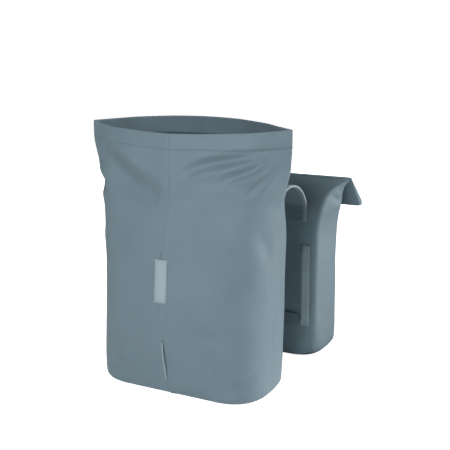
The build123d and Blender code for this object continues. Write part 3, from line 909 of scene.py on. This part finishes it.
def stitching(name, side, skin, hem):
    """The sewn lines of one bag: the hem, the reflective strip, the bridge's tab and the straps."""
    runs = []
    if hem:
        runs.append(skin_run(skin, [(q, hem) for q in np.linspace(0, 4, 500)]))
    for x in (REFLECTOR_LOW.x + 1.1 * MM, REFLECTOR_HIGH.x - 1.1 * MM):
        upright = [(skin.front_q(x, z), z) for z in np.linspace(REFLECTOR_LOW.z, REFLECTOR_HIGH.z, 22)]
        runs.append(skin_run(skin, upright, 0.8 * MM))
    outer = BRIDGE_HIGH.x - TAB_INSET
    low, high = TAB_LOW.z + 3 * MM, BRIDGE_HINGE.z - 13 * MM
    lines = [rectangle((-outer, outer), (low, high))]
    for end in (1, -1):
        inner = end * (outer - TAB_BOX)
        lines.append([(inner, low), (end * outer, high)])
        lines.append([(inner, high), (end * outer, low)])
        lines.append([(inner, low), (inner, high)])
    for line in lines:
        points = []
        for x, z in drawn(line):
            y = BRIDGE_HINGE.y + bridge_waver(x, BRIDGE_HINGE.y) - 1.15 * MM
            points.append((x, side * y, z))
        runs.append((points, [(0, -side, 0)] * len(points)))
    patch_line = rectangle((PATCH_LOW.x, PATCH_HIGH.x), (PATCH_LOW.z, PATCH_HIGH.z), 3 * MM)
    points = [(x, side * (PATCH_LOW.y - 0.05 * MM), z) for x, z in drawn(patch_line)]
    runs.append((points, [(0, -side, 0)] * len(points)))
    dress(stitches(f"{name}_stitching", runs), THREAD_FINISH, "coated_fabric", f"{name}_bag")


# ---------------------------------------------------------------- folded top of the left bag

def fold_axes():
    """The directions down the fold and out of its upper side, in the (y, z) plane."""
    tip = Vector((0, FOLD_HIGH.y - 10 * MM, FOLD_LOW.z + 10 * MM))
    down = (tip - Vector((0, FOLD_HINGE.y, FOLD_HINGE.z))).normalized()
    return np.array([down.y, down.z]), np.array([-down.z, down.y]), (tip - FOLD_HINGE).yz.length


def fold_section():
    """The teardrop outline of the folded top, as (down, up) points starting under the crease."""
    _, _, centre = fold_axes()
    end, start = 9.6 * MM, 2.8 * MM
    swell = end - start
    lean = math.asin(swell / centre)
    touch, past = centre - end * lean, lean * 0.2
    lower = [(t, -start - swell * (t / centre) ** 1.25) for t in np.linspace(0, touch, 34)]
    tip_angles = np.linspace(-math.pi / 2 - past, math.pi / 2 + past, 22)
    tip = [(centre + end * math.cos(a), end * math.sin(a)) for a in tip_angles]
    upper = [(t, start + swell * (t / centre) ** 1.1) for t in np.linspace(touch, 0, 34)]
    back_angles = np.linspace(math.pi / 2, 1.5 * math.pi, 8)[1:-1]
    round_back = [(start * math.cos(a), start * math.sin(a)) for a in back_angles]
    return np.array(lower[:-1] + tip + upper[1:] + round_back)


def folded_top():
    down, up, centre = fold_axes()
    section = fold_section()
    reach = FOLD_HIGH.x
    ends = np.array([0, 0.6, 1.8, 3.6, 6, 9]) * MM
    middle = np.linspace(-reach + 14 * MM, reach - 14 * MM, 110)
    places = np.concatenate([-reach + ends, middle, (reach - ends)[::-1]])
    points = []
    for x in places:
        inset = reach - abs(x)
        narrow = 0.35 + 0.65 * math.sqrt(1 - max(0, 1 - inset / (9 * MM)) ** 2)
        for a, b in section:
            wide = min(1, a / centre)
            wave = 0.9 * MM * math.sin(x * 55 + 1.3) + 0.7 * MM * math.sin(x * 23 + a * 40 + 0.4)
            hem = -0.8 * MM * math.exp(-(((a - centre + 27 * MM) / (1.5 * MM)) ** 2))
            swell = (wave * wide + hem * (1 if b > 0 else 0.4)) * (1 if b > 0 else -0.6)
            droop = 1.6 * MM * wide * math.cos(math.pi * x / (2 * reach))
            b_now = b * narrow + swell * narrow
            y = FOLD_HINGE.y + down[0] * a + up[0] * (b_now - droop)
            z = FOLD_HINGE.z + down[1] * a + up[1] * (b_now - droop)
            points.append((x, y, z))
    count = len(section)
    faces = grid_faces(len(places), count, closed=True)
    faces += cap(points, 0, count, False) + cap(points, len(points) - count, count, True)
    piece = mesh_piece("left_folded_collar", points, faces)
    nodes = ["left_folded_top", "left_fold_upper_tape", "left_fold_lower_tape"]
    dress(piece, SHELL, "coated_fabric", None, *nodes)
    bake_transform(piece)
    off_line = np.abs(section[:, 0] - centre + 29 * MM) + (section[:, 1] < 0)
    sewn = int(np.argmin(off_line))
    line = [points[row * count + sewn] for row in range(6, len(places) - 6)]
    thread = stitches("left_collar_stitching", [(line, [(0, up[0], up[1])] * len(line))])
    dress(thread, THREAD_FINISH, "coated_fabric", "left_top")


def cap(points, first, count, far):
    """Quads across a ring of a lying teardrop, from its lower side to its upper side."""
    faces = []
    for i in range(count // 2 - 1):
        a, b = first + i, first + (i + 1)
        c, d = first + (count - 1 - (i + 1)), first + (count - 1 - i)
        faces.append((a, b, c, d) if far else (d, c, b, a))
    return faces


# ---------------------------------------------------------------- stage

def area_light(name, place, target, size, power):
    light = bpy.data.lights.new(name, "AREA")
    light.shape = "RECTANGLE"
    light.size, light.size_y = size
    light.energy = power
    lamp = bpy.data.objects.new(name, light)
    lamp.location = place
    lamp.rotation_mode = "QUATERNION"
    lamp.rotation_quaternion = (Vector(target) - Vector(place)).to_track_quat("-Z", "Y")
    bpy.context.scene.collection.objects.link(lamp)


def backdrop(name, points, faces, glow, seen):
    """Part of the pale surround. What is seen by the camera lights nothing, and the rest only lights."""
    sheet = mesh_piece(name, points, faces)
    material, _, shader = new_material(name)
    shader.inputs["Base Color"].default_value = (0.86, 0.87, 0.88, 1)
    shader.inputs["Roughness"].default_value = 0.9
    shader.inputs["Emission Color"].default_value = (1, 1, 1, 1)
    shader.inputs["Emission Strength"].default_value = glow
    sheet.data.materials.append(material)
    sheet.visible_camera = seen
    sheet.visible_diffuse = not seen
    sheet.visible_glossy = not seen
    sheet.visible_transmission = not seen
    sheet.visible_shadow = not seen


def studio():
    """A pale floor and surround, with broad lights from the front, the fore side, behind and above."""
    wide = 9
    corners = [(-wide, -wide), (wide, -wide), (wide, wide), (-wide, wide)]
    backdrop("studio_floor", [(x, y, -0.5 * MM) for x, y in corners], [(0, 1, 2, 3)], 0.96, True)
    near = [(-1.3, -2.4), (2.0, -2.4), (2.0, 0.08), (-1.3, 0.08)]
    backdrop("studio_bounce", [(x, y, -1 * MM) for x, y in near], [(0, 1, 2, 3)], 0.15, False)
    walls = [(x, y, z) for z in (-1 * MM, wide) for x, y in corners]
    sides = [(i, (i + 1) % 4, 4 + (i + 1) % 4, 4 + i) for i in range(4)]
    backdrop("studio_surround", walls, sides + [(4, 5, 6, 7)], 1.0, True)
    area_light("front_softbox", (0.3, -2.5, 1.8), (0, -0.1, 0.25), (1.3, 1.1), 70)
    area_light("fore_softbox", (2.25, 1.5, 0.7), (0, 0.05, 0.25), (1.0, 1.5), 90)
    area_light("rear_softbox", (-0.9, 2.8, 1.3), (0, 0.1, 0.25), (1.6, 1.2), 42)
    area_light("top_softbox", (0.2, -0.9, 2.8), (0, -0.1, 0.2), (2.0, 2.0), 3)
    world = bpy.data.worlds.new("surround")
    world.use_nodes = True
    world.node_tree.nodes["Background"].inputs["Color"].default_value = (1, 1, 1, 1)
    world.node_tree.nodes["Background"].inputs["Strength"].default_value = 0.03
    bpy.context.scene.world = world
    bpy.context.scene.view_settings.view_transform = "Standard"


def camera():
    lens = bpy.data.cameras.new("camera")
    lens.lens = 68.8
    lens.sensor_width = 36
    eye = bpy.data.objects.new("camera", lens)
    eye.location = (0.84527, -1.55699, 0.66338)
    eye.rotation_mode = "QUATERNION"
    eye.rotation_quaternion = (Vector((-0.0018, 0, 0.29228)) - eye.location).to_track_quat("-Z", "Y")
    bpy.context.scene.collection.objects.link(eye)
    bpy.context.scene.camera = eye


# ---------------------------------------------------------------- the whole object

def bag(name, side, levels, spread, wrinkle, hem):
    skin = Skin(side, levels, spread, wrinkle)
    shell(side, name, skin)
    reflective_strip(name, skin)
    light_loop(name, skin)
    for end in (1, -1):
        webbing_rail(name, side, end)
    back_straps(name, side)
    bridge_half(name, side)
    stitching(name, side, skin, hem)
    for part in ("back_board", "base_board"):
        board = frame["nodes"][f"{name}_{part}"]
        board.data.materials.clear()
        board.data.materials.append(BOARD)
    return skin


camera()
studio()
right_skin = bag("right", -1, OPEN_LEVELS, 9, open_wrinkles, OPEN_LEVELS[-1][0] * MM - HEM_STITCHES)
left_skin = bag("left", 1, CLOSED_LEVELS, 5, closed_wrinkles, None)
seam_tape("right", right_skin, right_skin.z[-1] - HEM)
seam_tape("left", left_skin, LEFT_TAPE_TOP)
lip_tape(right_skin, "right", "outer", 0.5, "right_outer_lip_tape")
lip_tape(right_skin, "right", "back", 2.5, "right_back_lip_tape")
folded_top()
